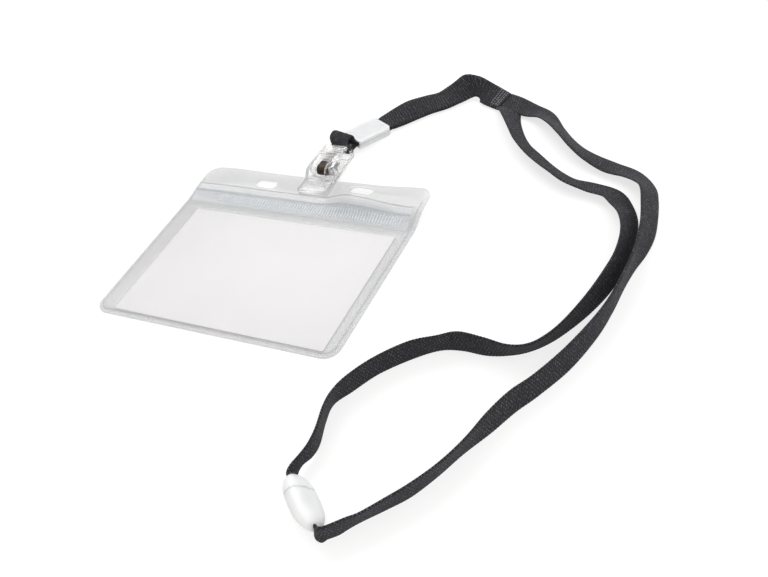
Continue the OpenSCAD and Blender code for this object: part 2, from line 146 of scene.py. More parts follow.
def clouded(made, scale, detail, tones, strength, distance):
    """A surface with a fine cloud of tones, and a bump that follows it."""
    mat, nodes, links, shader = made
    cloud = noise(nodes, links, scale, detail)
    links.new(ramp(nodes, links, cloud, tones), shader.inputs["Base Color"])
    bump(nodes, links, shader, cloud, strength, distance)
    return mat


def grey(level, warm=0.0):
    return (level * (1 + warm), level, level * (1 - warm))


def yarn(level):
    """Black yarn with a little violet in it."""
    return (level * 1.02, level * 0.96, level * 1.14)


def clear_film(name, alpha, tone):
    mat, nodes, links, shader = surface(name, grey(tone), 0.16, alpha=alpha, ior=1.45,
                                        coat_weight=0.3)
    cloud = noise(nodes, links, 45, 3)
    tones = [(0.3, grey(tone * 0.93, -0.01)), (0.7, grey(tone * 1.06))]
    links.new(ramp(nodes, links, cloud, tones), shader.inputs["Base Color"])
    bump(nodes, links, shader, noise(nodes, links, 160, 2), 0.12, 0.0006)
    return mat


def zip_plastic(name, alpha, tone):
    made = surface(name, grey(tone, -0.06), 0.22, alpha=alpha, ior=1.45)
    tones = [(0.3, grey(tone * 0.92, -0.07)), (0.7, grey(tone * 1.07, -0.05))]
    return clouded(made, 300, 2, tones, 0.2, 0.0002)


def card_stock():
    made = surface("card_stock", (0.92, 0.9, 0.905), 0.65)
    tones = [(0.25, (0.9, 0.88, 0.885)), (0.75, (0.94, 0.92, 0.925))]
    return clouded(made, 900, 4, tones, 0.15, 0.0001)


def clear_plastic():
    made = surface("clear_plastic", (0.93, 0.935, 0.94), 0.05, transmission_weight=1.0, ior=1.36,
                   alpha=0.72)
    return clouded(made, 260, 3, [(0.35, grey(0.8)), (0.65, grey(0.96))], 0.3, 0.0003)


def milky_plastic(name, level):
    made = surface(name, grey(level), 0.34, subsurface_weight=0.8, subsurface_scale=0.003,
                   subsurface_radius=(1, 0.95, 0.9), ior=1.46)
    tones = [(0.3, grey(level - 0.02, 0.005)), (0.7, grey(level + 0.02, 0.005))]
    return clouded(made, 350, 3, tones, 0.1, 0.0002)


def spring_steel():
    made = surface("dark_spring", (0.03, 0.02, 0.014), 0.38, metallic=0.7)
    tones = [(0.3, (0.02, 0.013, 0.009)), (0.7, (0.06, 0.038, 0.026))]
    return clouded(made, 700, 3, tones, 0.15, 0.0001)


def pin_steel():
    made = surface("steel_pin", (0.62, 0.62, 0.63), 0.25, metallic=1.0)
    tones = [(0.3, (0.55, 0.55, 0.56)), (0.7, (0.7, 0.7, 0.71))]
    return clouded(made, 1200, 2, tones, 0.1, 0.0001)


def combined(nodes, links, operation, first, second=0.0):
    """A math node. first and second are numbers or other nodes' outputs."""
    node = nodes.new("ShaderNodeMath")
    node.operation = operation
    for socket, value in zip(node.inputs, (first, second)):
        if isinstance(value, (int, float)):
            socket.default_value = value
        else:
            links.new(value, socket)
    return node.outputs[0]


def wave_along(nodes, links, coordinate, pitch):
    """Cosine of one UV coordinate, given in millimetres, with a pitch in millimetres."""
    turns = combined(nodes, links, "MULTIPLY", coordinate, 2 * math.pi / pitch)
    return combined(nodes, links, "COSINE", turns)


def webbing(name, across_pitch):
    """Charcoal yarn, with painted shade in the weave's hollows and a painted highlight on its
    crowns. U runs across the strap, V along it.
    """
    mat, nodes, links, shader = surface(name, yarn(0.03), 0.8, specular_ior_level=0.25,
                                        sheen_weight=0.06, sheen_roughness=0.4)
    where = nodes.new("ShaderNodeTexCoord")
    split = nodes.new("ShaderNodeSeparateXYZ")
    links.new(where.outputs["UV"], split.inputs[0])
    drift = combined(nodes, links, "MULTIPLY", noise(nodes, links, 420, 2), 1.3)
    crowns = wave_along(nodes, links, combined(nodes, links, "ADD", split.outputs["Y"], drift),
                        ROW_PITCH)
    if across_pitch:
        staggered = wave_along(nodes, links, split.outputs["X"], across_pitch)
        crowns = combined(nodes, links, "MULTIPLY", crowns, staggered)
    # Noise that varies how deep the weave is from place to place, and so how strong its painted
    # shade and highlight are.
    patchy_crown_depth = combined(nodes, links, "MULTIPLY", noise(nodes, links, 260, 3), 1.7)
    crowns = combined(nodes, links, "MULTIPLY", crowns, patchy_crown_depth)
    lint = combined(nodes, links, "SUBTRACT", noise(nodes, links, 1500, 3), 0.5)
    uneven = combined(nodes, links, "MULTIPLY", lint, 1.6)
    height = combined(nodes, links, "MULTIPLY", crowns, 0.4 if across_pitch else 0.26)
    height = combined(nodes, links, "ADD", combined(nodes, links, "ADD", height, 0.5), uneven)
    # The tone follows the weave's height: painted shade in the hollows, painted highlight on the
    # crowns.
    tones = [(0.0, yarn(0.005)), (0.5, yarn(0.019)), (0.8, yarn(0.044)), (1.0, yarn(0.11))]
    links.new(ramp(nodes, links, height, tones), shader.inputs["Base Color"])
    bump(nodes, links, shader, height, 0.35, 0.00015)
    return mat


def stitch_thread():
    made = surface("stitch_thread", (0.2, 0.2, 0.21), 0.7)
    tones = [(0.3, (0.12, 0.12, 0.13)), (0.7, (0.3, 0.3, 0.31))]
    return clouded(made, 2000, 2, tones, 0.4, 0.0001)


ROW_PITCH = 1.15       # of the weave, along the strap, in millimetres
COLUMN_PITCH = 2.5     # of the weave's staggered columns, across the strap

BACK_VINYL = clear_film("back_vinyl", 0.36, 0.52)
FRONT_VINYL = clear_film("front_vinyl", 0.13, 0.62)
WELD = clear_film("welded_vinyl", 0.34, 0.52)
ZIP = zip_plastic("zip_plastic", 0.1, 0.84)
ZIP_LINE = zip_plastic("zip_profile", 0.32, 0.5)
ZIP_TICK = zip_plastic("zip_ticks", 0.4, 0.9)
CARD = card_stock()
CLEAR = clear_plastic()
MILKY = milky_plastic("buckle_plastic", 0.96)
CRIMP = milky_plastic("crimp_plastic", 0.86)
SPRING = spring_steel()
STEEL = pin_steel()
RIBBED_WEB = webbing("stem_webbing", None)
DOTTED_WEB = webbing("leg_webbing", COLUMN_PITCH)
THREAD = stitch_thread()

# ---- Mesh helpers ---------------------------------------------------------------------


def piece(name, points, faces, material, slot, smooth_angle=40):
    """A mesh object from points in millimetres, with its normals outward."""
    mesh = bpy.data.meshes.new(name)
    mesh.from_pydata([tuple(map(float, p)) for p in np.asarray(points) * MM], [], faces)
    bm = bmesh.new()
    bm.from_mesh(mesh)
    bmesh.ops.recalc_face_normals(bm, faces=bm.faces)
    bm.to_mesh(mesh)
    bm.free()
    mesh.materials.append(material)
    obj = added(name, mesh)
    soften(obj, smooth_angle)
    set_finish(obj, slot)
    return obj


def soften(obj, angle):
    """Smooth shading, but for edges sharper than an angle in degrees."""
    mesh = obj.data
    for face in mesh.polygons:
        face.use_smooth = True
    bm = bmesh.new()
    bm.from_mesh(mesh)
    for edge in bm.edges:
        edge.smooth = len(edge.link_faces) < 2 or edge.calc_face_angle(0) < math.radians(angle)
    bm.to_mesh(mesh)
    bm.free()


def bake(obj):
    """Applies an object's modifiers to its mesh."""
    graph = bpy.context.evaluated_depsgraph_get()
    mesh = bpy.data.meshes.new_from_object(obj.evaluated_get(graph))
    obj.modifiers.clear()
    obj.data = mesh


def cut_or_add(obj, others, operation):
    """Joins or cuts obj with others, and removes them."""
    for other in others:
        mod = obj.modifiers.new("solid", "BOOLEAN")
        mod.object = other
        mod.operation = operation
        mod.solver = "EXACT"
    bake(obj)
    for other in others:
        bpy.data.objects.remove(other)


def bevel(obj, width, segments=2, angle=35):
    mod = obj.modifiers.new("bevel", "BEVEL")
    mod.width = width * MM
    mod.segments = segments
    mod.limit_method = "ANGLE"
    mod.angle_limit = math.radians(angle)
    bake(obj)
    soften(obj, 40)


def block(low, high, material=CLEAR, slot="clear_plastic", name="block"):
    """A box between two corners, in millimetres."""
    points = [(x, y, z) for x in (low[0], high[0]) for y in (low[1], high[1])
              for z in (low[2], high[2])]
    faces = [(0, 1, 3, 2), (4, 6, 7, 5), (0, 4, 5, 1), (2, 3, 7, 6), (0, 2, 6, 4), (1, 5, 7, 3)]
    return piece(name, points, faces, material, slot)


def prism(outline, x0, x1, material=CLEAR, slot="clear_plastic", name="prism"):
    """A side outline of (y, z) points, pulled from x0 to x1."""
    n = len(outline)
    points = [(x, y, z) for x in (x0, x1) for y, z in outline]
    faces = [tuple(range(n)), tuple(range(2 * n - 1, n - 1, -1))]
    faces += [(i, i + n, (i + 1) % n + n, (i + 1) % n) for i in range(n)]
    return piece(name, points, faces, material, slot)


def arc(centre, radius, start, end, steps):
    """Points (y, z) on an arc, angles in degrees."""
    turns = [math.radians(start + (end - start) * i / steps) for i in range(steps + 1)]
    return [(centre[0] + radius * math.cos(a), centre[1] + radius * math.sin(a)) for a in turns]


def rod(a, b, radius, sides=12, material=CLEAR, slot="clear_plastic", name="rod"):
    """A round bar with domed ends between two points, in millimetres."""
    a, b = np.array(a, float), np.array(b, float)
    along = (b - a) / np.linalg.norm(b - a)
    side = np.cross(along, (0, 0, 1) if abs(along[2]) < 0.9 else (1, 0, 0))
    side /= np.linalg.norm(side)
    up = np.cross(along, side)
    rings = [(a - along * radius * 0.4, 0.5), (a, 1), (b, 1), (b + along * radius * 0.4, 0.5)]
    points = [c + radius * k * (side * math.cos(t) + up * math.sin(t)) for c, k in rings
              for t in (2 * math.pi * j / sides for j in range(sides))]
    return piece(name, points, tube_faces(len(rings), sides), material, slot)


def tube_faces(rings, sides):
    faces = [(i * sides + j, i * sides + (j + 1) % sides,
              (i + 1) * sides + (j + 1) % sides, (i + 1) * sides + j)
             for i in range(rings - 1) for j in range(sides)]
    last = (rings - 1) * sides
    return faces + [tuple(range(sides))[::-1], tuple(range(last, last + sides))]


def join(name, objs):
    """One object from several that share a material."""
    bm = bmesh.new()
    for obj in objs:
        bm.from_mesh(obj.data)
    mesh = bpy.data.meshes.new(name)
    bm.to_mesh(mesh)
    bm.free()
    mesh.materials.append(objs[0].data.materials[0])
    made = added(name, mesh)
    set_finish(made, objs[0]["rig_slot"])
    for obj in objs:
        bpy.data.objects.remove(obj)
    return made


def middle(*nodes):
    """Middle of the box round some CAD nodes, in millimetres."""
    low = np.min([np.array(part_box(n)[0]) for n in nodes], axis=0)
    high = np.max([np.array(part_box(n)[1]) for n in nodes], axis=0)
    return (low + high) / 2 / MM


def place(obj, centre, yaw):
    """Turns a finished piece about its own origin and moves it to centre, in millimetres."""
    turn = Matrix.Rotation(math.radians(yaw), 4, "Z")
    obj.data.transform(Matrix.Translation(Vector(centre) * MM) @ turn)
    obj.data.update()


# ---- Straps ---------------------------------------------------------------------------
# A station is (x, y, z, roll, width) in millimetres and degrees. Roll is the angle by which
# the band's left edge stands higher than its right edge, seen along the way it runs.

STRAP_W = 10.0
STRAP_T = 0.95
STEM_PLY = 0.52
END_W = 6.0

CRIMP_YAW = 62.0
CRIMP_PITCH = 6.0
CRIMP_SIZE = (17.0, 12.4, 3.8)
crimp_mid = middle("crimp_top_shell", "crimp_bottom_shell")
W = STRAP_W     # short, for the stations below

STEM_ROUTE = [
    (*crimp_mid, 0, W),
    (12, 84.8, 1.9, 0, W), (13.3, 87.2, 2, 6, W),
    (17.3, 91, 2.7, 18, W), (22, 95.8, 3.3, 26, W),
    (27, 101.5, 2.7, 18, W), (32.5, 106, 2.4, 14, W), (37, 110.5, 3.3, 26, W),
    (42, 114, 4.8, 54, W), (47, 113.5, 5, 60, W), (53, 111.5, 3.6, 30, W),
    (61, 109, 1.9, 8, W)]

LEG_A_ROUTE = [
    (61.8, 108.9, 2.5, 6, W), (67, 107.5, 2.2, 2, W), (74, 105, 1.4, -4, W),
    (81.5, 101.5, 2.1, -18, W), (89, 93.5, 3.7, -40, W), (96.5, 85.5, 4, -45, W),
    (103, 79.5, 3.6, -38, W), (110, 75, 2.8, -26, W), (119, 71, 2, -16, W),
    (128, 67.5, 2.5, -22, W), (135, 61.5, 3.5, -37, W), (138.5, 55, 4.3, -50, W),
    (141, 46, 4.5, -55, W), (143, 36, 4.7, -62, W), (143.5, 27, 5, -74, W),
    (143, 18, 5.1, -90, W), (142.3, 8, 5.1, -96, W), (141.5, -4, 5.1, -94, W),
    (139.5, -16, 5.1, -89, W), (135, -31, 5.1, -85, W), (129, -44, 5.1, -87, W),
    (124, -52.5, 5.1, -86, W), (120, -62, 5.1, -90, W), (115.7, -73, 5.1, -105, W),
    (111.5, -83, 5.1, -107, W), (106.5, -92, 5.1, -105, W), (101.5, -98.5, 5.1, -108, W),
    (96, -105, 5, -112, W), (93.2, -108.1, 5.1, -108, W), (91, -110.8, 5.2, -104, W),
    (89.4, -112.4, 5.3, -104, W), (88, -113.6, 5.4, -103, W), (86.9, -114.2, 5.4, -97, W),
    (86.05, -114.25, 5.4, -88, 9.2), (85.4, -113.9, 5.4, -78, 6.8), (84.95, -113.3, 5.4, -76, 4.2),
    (84.7, -112.5, 5.4, -76, 2.4)]

LEG_B_ROUTE = [
    (61.8, 108.5, 1.4, 6, W), (65.3, 103, 2.4, -16, W), (69, 95.5, 3.8, -40, W),
    (74.5, 86.5, 4.2, -48, W), (80, 79, 4.1, -45, W), (86.5, 73, 3.7, -39, W),
    (93, 67.5, 3.7, -39, W), (100, 62.5, 3.7, -39, W), (107, 58.8, 3.2, -32, W),
    (115.5, 57.3, 2.4, -21, W), (124, 55, 2.4, -22, W), (129.5, 49, 2.9, -28, W),
    (134.5, 40.5, 4, -45, W), (137.5, 29, 5, -66, W), (138.2, 17, 5.1, -76, W),
    (137, 6, 5.1, -79, W), (134, -6, 5.1, -90, W), (129.5, -18, 5.1, -104, W),
    (125.5, -25, 5, -113, W), (121, -29.5, 4.8, -118, W), (115.5, -32, 5, -112, W),
    (107, -32.6, 5.1, -95, W), (98, -32.4, 5.1, -93, W), (91, -35, 5.1, -103, W),
    (83, -40.3, 5.1, -97, W), (74.5, -49.5, 5.1, -98, W), (69, -59, 5.1, -98, W),
    (66, -66, 5, -106, W), (66.5, -73, 5.1, -102, W), (68.7, -82, 5.1, -99, W),
    (68.9, -87.4, 5, -98, 8.4), (67.8, -92, 5, -100, 6.6), (67.6, -95.6, 5.1, -84, 5.6),
    (68.4, -98.1, 5.3, -60, 5.2), (69.6, -99.3, 5.4, -52, 5)]


def smooth_line(stations, step):
    """A smooth line through the stations, with every number of a station, at an even step."""
    s = np.array(stations, float)
    s = np.vstack([2 * s[0] - s[1], s, 2 * s[-1] - s[-2]])
    fine = []
    for i in range(1, len(s) - 2):
        for t in np.linspace(0, 1, 24, endpoint=False):
            a, b, c, d = s[i - 1], s[i], s[i + 1], s[i + 2]
            fine.append(0.5 * (2 * b + (c - a) * t + (2 * a - 5 * b + 4 * c - d) * t * t
                               + (3 * b - a - 3 * c + d) * t ** 3))
    fine = np.array(fine + [s[-2]])
    run = np.concatenate([[0], np.cumsum(np.linalg.norm(np.diff(fine[:, :3], axis=0), axis=1))])
    marks = np.linspace(0, run[-1], max(3, int(run[-1] / step) + 1))
    return np.column_stack([np.interp(marks, run, fine[:, k]) for k in range(s.shape[1])]), marks


def headings(points):
    t = np.gradient(points, axis=0)
    return t / np.linalg.norm(t, axis=1)[:, None]


def rolled(points, roll):
    """The direction across the band at each point, from its heading and its roll."""
    t = headings(points)
    left = np.column_stack([-t[:, 1], t[:, 0], np.zeros(len(t))])
    left /= np.linalg.norm(left, axis=1)[:, None]
    up = np.cross(t, left)
    a = np.radians(roll)[:, None]
    return left * np.cos(a) + up * np.sin(a)


ACROSS = 17      # columns on each face of a band
WEAVE = 0.07     # height of the weave's crowns


def ribbed(s, u):
    """Cross ribs, close together, as on the doubled stem."""
    return WEAVE * 0.7 * np.cos(2 * math.pi * s / ROW_PITCH)


def dotted(s, u):
    """Crowns in staggered columns, as on the single straps."""
    return WEAVE * 1.3 * np.cos(2 * math.pi * s / ROW_PITCH) * np.cos(4 * math.pi * u)


def band_mesh(points, across, widths, weave, marks, offset):
    """Points, faces and UVs of a woven band with round edges."""
    t = headings(points)
    normal = np.cross(t, across)
    u = np.linspace(-1, 1, ACROSS)
    shape = [(x, 1) for x in u] + [(x, -1) for x in u[::-1]]
    rings, uvs = [], []
    for i, p in enumerate(points):
        for x, side in shape:
            fall = math.sqrt(max(0.0, 1 - abs(x) ** 9))
            h = side * STRAP_T / 2 * (0.35 + 0.65 * fall)
            if abs(x) < 0.99:
                h += side * float(weave(marks[i], x)) * fall
            edge = 1 + 0.012 * math.cos(2 * math.pi * marks[i] / 1.2)
            rings.append(p + across[i] * x * widths[i] / 2 * edge + normal[i] * (h + offset))
            uvs.append((x * widths[i] / 2, marks[i]))
    n = len(shape)
    return np.array(rings), tube_faces(len(points), n), np.array(uvs)


def band(name, points, across, widths, weave=dotted, marks=None, plies=(0.0,)):
    """A woven band along points, one or more plies thick."""
    if marks is None:
        marks = np.concatenate([[0], np.cumsum(np.linalg.norm(np.diff(points, axis=0), axis=1))])
    verts, faces, uvs = [], [], []
    for ply in plies:
        v, f, uv = band_mesh(points, across, widths, weave, marks, ply)
        faces += [tuple(k + sum(map(len, verts)) for k in face) for face in f]
        verts.append(v)
        uvs.append(uv)
    cloth = RIBBED_WEB if weave is ribbed else DOTTED_WEB
    obj = piece(name, np.vstack(verts), faces, cloth, "strap_webbing", 80)
    layer = obj.data.uv_layers.new(name="weave")
    uv = np.vstack(uvs)
    for loop in obj.data.loops:
        layer.data[loop.index].uv = uv[loop.vertex_index]
    return obj


def routed_band(name, route, weave, plies=(0.0,), fold=None):
    """A band along a route. At a fold its cross lines slant, and its crease with them."""
    line, marks = smooth_line(route, 0.3)
    across = rolled(line[:, :3], line[:, 3])
    if fold:
        near = np.argmin(np.hypot(line[:, 0] - fold[0], line[:, 1] - fold[1]))
        fade = np.exp(-((marks - marks[near]) / FOLD_REACH) ** 2)
        slant = fade * math.tan(math.radians(FOLD_SLANT))
        across = across - headings(line[:, :3]) * slant[:, None]
    obj = band(name, line[:, :3], across, line[:, 4], weave, marks, plies)
    path = line[::8, :3] * MM
    return obj, [tuple(p) for p in np.vstack([path, line[-1:, :3] * MM])], marks[-1] * MM


# ---- Breakaway buckle -----------------------------------------------------------------

BUCKLE_YAW = -42.5
BUCKLE_ROLL = -52.0
BUCKLE_LEN = 22.0
BUCKLE_W = 11.2
BUCKLE_T = 6.3
SEAM_X = -3.4
SEAM_GAP = 0.1
BAR_X = 9.0
BUCKLE_TAPER = 2.7      # the higher, the fuller the buckle stays towards its ends
BUCKLE_SQUARE = 2.9     # 2 would be an oval section, and more is nearer to a box
MOUTH_W = END_W - 1.2
MOUTH_H = 1.4
buckle_mid = middle("breakaway_plug", "breakaway_socket")


def buckle_section(x, steps=56):
    """Outline of the buckle at x along it: a soft box that closes at both ends."""
    f = max(0.0, 1 - abs(x / (BUCKLE_LEN / 2 + 0.15)) ** BUCKLE_TAPER) ** 0.5
    points = []
    for k in range(steps):
        a = 2 * math.pi * k / steps
        c, s = math.cos(a), math.sin(a)
        q = (abs(c) ** BUCKLE_SQUARE + abs(s) ** BUCKLE_SQUARE) ** (-1 / BUCKLE_SQUARE)
        points.append((x, q * c * BUCKLE_W / 2 * f, q * s * BUCKLE_T / 2 * f ** 0.85))
    return points


def buckle_half(name, x0, x1, mouth):
    """One half between two stations, its seam edge eased. mouth is where the strap enters."""
    steps = 30
    stations = [x0 + (x1 - x0) * i / steps for i in range(steps + 1)]
    points = []
    for x in stations:
        near_seam = min(1.0, abs(x - (SEAM_X + math.copysign(SEAM_GAP / 2, x - SEAM_X))) / 0.5)
        ease = 1 - 0.035 * (1 - near_seam) ** 2
        points += [(p[0], p[1] * ease, p[2] * ease) for p in buckle_section(x)]
    sides = len(buckle_section(0))
    obj = piece(name, points, tube_faces(len(stations), sides), MILKY, "milky_plastic", 30)
    if mouth:
        hole = block((mouth[0], -MOUTH_W / 2, -MOUTH_H / 2), (mouth[1], MOUTH_W / 2, MOUTH_H / 2),
                     MILKY, "milky_plastic")
        cut_or_add(obj, [hole], "DIFFERENCE")
    soften(obj, 35)
    return obj


def in_buckle(points):
    """From the buckle's own axes to the shared frame, in millimetres."""
    turn = (Matrix.Rotation(math.radians(BUCKLE_YAW), 3, "Z")
            @ Matrix.Rotation(math.radians(BUCKLE_ROLL), 3, "X"))
    return np.array([np.array(turn @ Vector(p)) for p in points]) + buckle_mid


def end_loop(name, end):
    """The strap's end turned round the buckle's bar, and the sewn neck that comes out of it."""
    turn_r = 0.72
    neck = BAR_X + 0.9
    line = [(neck, 0.5), (BAR_X + 0.2, 0.62)]
    line += [(BAR_X - 2 + turn_r * math.cos(a), turn_r * math.sin(a))
             for a in np.radians(np.linspace(85, 275, 9))]
    line += [(BAR_X + 0.2, -0.62), (neck, -0.5)]
    flat = np.array([(end * x, 0.0, z) for x, z in line])
    run, _ = smooth_line(flat, 0.3)
    points = in_buckle(run)
    across = in_buckle([(0, end, 0)])[0] - buckle_mid
    return band(name, points, np.tile(across, (len(points), 1)), np.full(len(points), END_W - 0.6))


def make_buckle():
    half = BUCKLE_LEN / 2
    plug = buckle_half("buckle_plug_shell", -half, SEAM_X - SEAM_GAP / 2, (-half - 1, -half + 5.6))
    socket = buckle_half("buckle_socket_shell", SEAM_X + SEAM_GAP / 2, half, None)
    tongue = block((SEAM_X - 1, -2.5, -1.3), (SEAM_X + 7, 2.5, 1.3), MILKY, "milky_plastic",
                   "buckle_tongue")
    barbs = [block((SEAM_X + 4.4, y0, -1.0), (SEAM_X + 6.2, y0 + 0.7, 1.0), MILKY, "milky_plastic")
             for y0 in (-3.1, 2.4)]
    cut_or_add(tongue, barbs, "UNION")
    bevel(tongue, 0.25)
    hollow = block((SEAM_X - 1, -3.3, -1.6), (SEAM_X + 7.6, 3.3, 1.6), MILKY, "milky_plastic")
    cut_or_add(socket, [hollow], "DIFFERENCE")
    soften(socket, 35)
    for obj in (plug, socket, tongue):
        turn = Matrix.Rotation(math.radians(BUCKLE_ROLL), 4, "X")
        obj.data.transform(turn)
        place(obj, buckle_mid, BUCKLE_YAW)
    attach(plug, "strap")
    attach(tongue, "strap")
    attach(socket, "buckle_socket")
    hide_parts("breakaway_plug")
    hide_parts("breakaway_socket")
    loop_a = end_loop("leg_a_end_band", 1)
    loop_b = end_loop("leg_b_end_band", -1)
    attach(loop_a, "buckle_socket")
    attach(loop_b, "strap")
    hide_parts("leg_a_end_loop")
    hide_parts("leg_b_end_loop")
    return plug, socket, tongue, loop_a, loop_b


FOLD = (45, 113.8)      # where the stem is folded over
FOLD_SLANT = 44         # degrees by which the strap's cross lines slant there
FOLD_REACH = 4.6        # how far from the fold the slant fades, in millimetres


def make_straps():
    plug, socket, tongue, loop_a, loop_b = make_buckle()
    stem, stem_path, stem_len = routed_band("stem_band", STEM_ROUTE, ribbed, (-STEM_PLY, STEM_PLY),
                                            FOLD)
    leg_a, a_path, a_len = routed_band("leg_a_band", LEG_A_ROUTE, dotted)
    leg_b, b_path, b_len = routed_band("leg_b_band", LEG_B_ROUTE, dotted)
    stitches = make_stitches()
    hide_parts("stem_strap")
    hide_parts("leg_a_strap")
    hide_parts("leg_b_strap")
    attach(stem, "strap")
    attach(leg_b, "strap")
    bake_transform(leg_a)


def make_stitches():
    """Rows of short stitches across the stem's end, on both faces."""
    line, _ = smooth_line(STEM_ROUTE, 0.3)
    points, roll = line[:, :3], line[:, 3]
    t = headings(points)
    across = rolled(points, roll)
    normal = np.cross(t, across)
    threads = []
    for row in range(4):
        i = len(points) - 5 - int(row * 1.1 / 0.3)
        for k in range(7):
            shift = (k - 3) * 1.25 + (row % 2) * 0.3
            for face in (-1, 1):
                lift = STEM_PLY + STRAP_T / 2 + 0.12
                mid = points[i] + across[i] * shift + normal[i] * face * lift
                reach = across[i] * 0.42 + t[i] * 0.12
                threads.append(rod(mid - reach, mid + reach, 0.2, 8, THREAD, "stitch_thread"))
    stitches = join("joint_stitches", threads)
    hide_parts("joint_stitching")
    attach(stitches, "strap")
    return stitches


# ---- Pouch ----------------------------------------------------------------------------

POUCH_W = 111.0
POUCH_BOTTOM = -48.0
POUCH_TOP = 44.0
CORNER_R = 6.0
FILM_T = 0.4
LIP_Y = 30.4
SLOT_Y = 36.6
SLOT_PITCH = 48.0
SLOT_MID = 2.0
SLOT_LEN = 10.3
SLOT_W = 4.8
HEADER_LIFT = 1.5
ZIP_Y0 = 20.9
ZIP_Y1 = 29.6
RIB_Y = 26.0
POCKET_GAP = 0.62
ZIP_GAP = 1.85
ZIP_LEN = POUCH_W - 6
HUMP_H = 3.5        # the header's hump beside the clip
HUMP_X = 24.0
CLIP_SIDE = 9.0     # the film stays flat up to here, where the jaws hold it
CORNER_RISE = 2.0
CARD_LEFT = 2.4     # the card lies a little to the right in its pocket
CARD_RIGHT = 0.6


def smooth_share(v, a, b):
    s = np.clip((v - a) / (b - a), 0, 1)
    return s * s * (3 - 2 * s)


def base_z(x, y):
    """Height of the back film's underside: flat under the pocket, raised and humped at the top."""
    ramp_up = HEADER_LIFT * smooth_share(y, 21, 34)
    side = np.where(x < HUMP_X, (HUMP_X - x) / (HUMP_X - CLIP_SIDE), (x - HUMP_X) / 26)
    hump = HUMP_H * np.cos(math.pi / 2 * np.clip(side, 0, 1)) ** 2
    hump = hump * (smooth_share(y, 20.6, 31) - 0.9 * smooth_share(y, 36, 44))
    corner = CORNER_RISE * smooth_share(x, 26, 55) * smooth_share(y, 20.6, 35)
    left = 0.4 * smooth_share(-x, 14, 40) * (1 - smooth_share(-x, 40, 56)) * smooth_share(y, 20, 40)
    return ramp_up + hump + corner + left


def half_width(y):
    """Half the pouch's width at a height, less at its round corners."""
    d = min(y - POUCH_BOTTOM, POUCH_TOP - y)
    if d >= CORNER_R:
        return POUCH_W / 2
    return POUCH_W / 2 - CORNER_R + math.sqrt(max(0.0, CORNER_R ** 2 - (CORNER_R - d) ** 2))


def edge_distance(x, y):
    """How far a point is inside the pouch's outline."""
    dx = POUCH_W / 2 - abs(x)
    dy = min(y - POUCH_BOTTOM, POUCH_TOP - y)
    if dx < CORNER_R and dy < CORNER_R:
        return CORNER_R - math.hypot(CORNER_R - dx, CORNER_R - dy)
    return min(dx, dy)


def rows(y0, y1):
    near = [0, 0.15, 0.5, 1.0, 1.4, 1.75, 2.1, 2.5, 3.2]
    ys = list(np.arange(y0, y1, 1.1)) + [y1]
    ys += [POUCH_BOTTOM + d for d in near] + [POUCH_TOP - d for d in near]
    ys = sorted(set(round(float(y), 3) for y in ys if y0 <= y <= y1))
    return [y for i, y in enumerate(ys) if i == 0 or y - ys[i - 1] > 0.1]


def columns():
    near = [0, 0.5, 1.0, 1.4, 1.75, 2.1, 2.5, 3.2, 4.2]
    half = POUCH_W / 2
    xs = [-half + d for d in near] + list(np.linspace(-half + 5.5, half - 5.5, 74))
    xs += [half - d for d in near[::-1]]
    return [x / half for x in xs]


def sheet_faces(n, m):
    """Faces of a closed sheet: n rows of m points above, then as many below."""
    under = n * m
    faces = []
    for i in range(n - 1):
        for j in range(m - 1):
            a = i * m + j
            faces.append((a, a + 1, a + m + 1, a + m))
            faces.append((under + a, under + a + m, under + a + m + 1, under + a + 1))
    rim = [j for j in range(m)] + [i * m + m - 1 for i in range(1, n)]
    rim += [(n - 1) * m + j for j in range(m - 2, -1, -1)] + [i * m for i in range(n - 2, 0, -1)]
    faces += [(rim[k - 1], rim[k], under + rim[k], under + rim[k - 1]) for k in range(len(rim))]
    return faces


def slab(name, y0, y1, low, high, material, slot):
    """A thin sheet over the pouch's outline between two height functions of (x, y)."""
    ys, us = rows(y0, y1), columns()
    grid = [(u * half_width(y), y) for y in ys for u in us]
    points = [(x, y, high(x, y)) for x, y in grid]
    points += [(x, y, low(x, y)) for x, y in grid]
    return piece(name, points, sheet_faces(len(ys), len(us)), material, slot, 60)


def slot_cutter(x):
    """A round-ended block through the header."""
    half = (SLOT_LEN - SLOT_W) / 2
    r = SLOT_W / 2
    ends = arc((half, 0), r, -90, 90, 12) + arc((-half, 0), r, 90, 270, 12)
    n = len(ends)
    points = [(x + px, SLOT_Y + py, z) for z in (-1, 8) for px, py in ends]
    faces = [tuple(range(n))[::-1], tuple(range(n, 2 * n))]
    faces += [(i, (i + 1) % n, (i + 1) % n + n, i + n) for i in range(n)]
    return piece("slot_cutter", points, faces, BACK_VINYL, "clear_vinyl")


def front_gap(x, y):
    """Room between the two films: none at the weld, the card's in the pocket, the zip's above."""
    rise = smooth_share(edge_distance(x, y), 1.3, 2.6)
    bow = 0.35 * (1 - (x / (POUCH_W / 2)) ** 2) * smooth_share(y, -46, -20)
    gap = POCKET_GAP + bow + (ZIP_GAP - POCKET_GAP) * smooth_share(y, ZIP_Y0 - 4, ZIP_Y0)
    return gap * rise


def front_low(x, y):
    return base_z(x, y) + FILM_T + front_gap(x, y) + 0.01


def back_top(x, y):
    return base_z(x, y) + FILM_T


